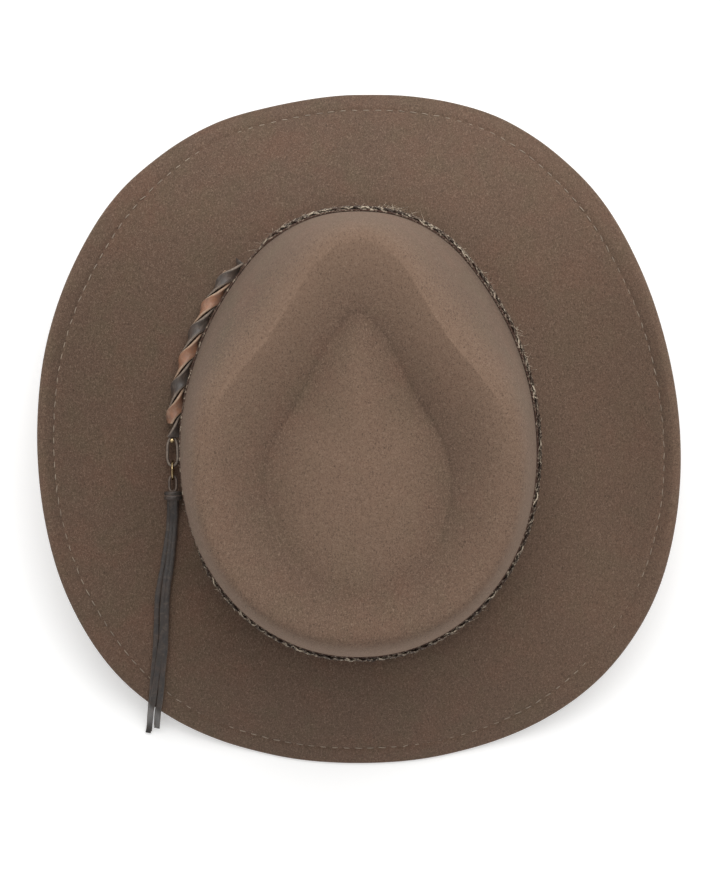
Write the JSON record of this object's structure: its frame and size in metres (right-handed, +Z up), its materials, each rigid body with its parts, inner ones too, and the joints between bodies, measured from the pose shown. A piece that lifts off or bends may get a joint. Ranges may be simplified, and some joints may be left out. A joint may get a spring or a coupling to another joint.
{
  "type": "felt hat",
  "caption": "Wide-brimmed wool felt hat with a pinched teardrop crown, a braided hair band and a twisted lace with a ring and tassel.",
  "frame": {"origin": "on the surface that the hat rests on, under the middle of the brim's outline", "axes": "+Z up out of the crown, -Y towards the front of the hat, +X towards the wearer's left"},
  "size_m": [0.2976, 0.3199, 0.1391],
  "materials": {
    "felt": "matt brushed wool felt, taupe brown, finely mottled",
    "hair_braid": "braided dark and pale hair, slightly glossy",
    "dark_leather": "dark grey-brown lace leather with pale raw edges",
    "tan_leather": "tan lace leather with pale raw edges",
    "brass": "polished wire"
  },
  "bodies": {
    "root": {"felt_body": "felt", "hatband": "hair_braid", "dark_lace": "dark_leather", "tan_lace": "tan_leather", "rivet": "brass", "ring": "brass", "tassel": "dark_leather"}
  },
  "joints": []
}
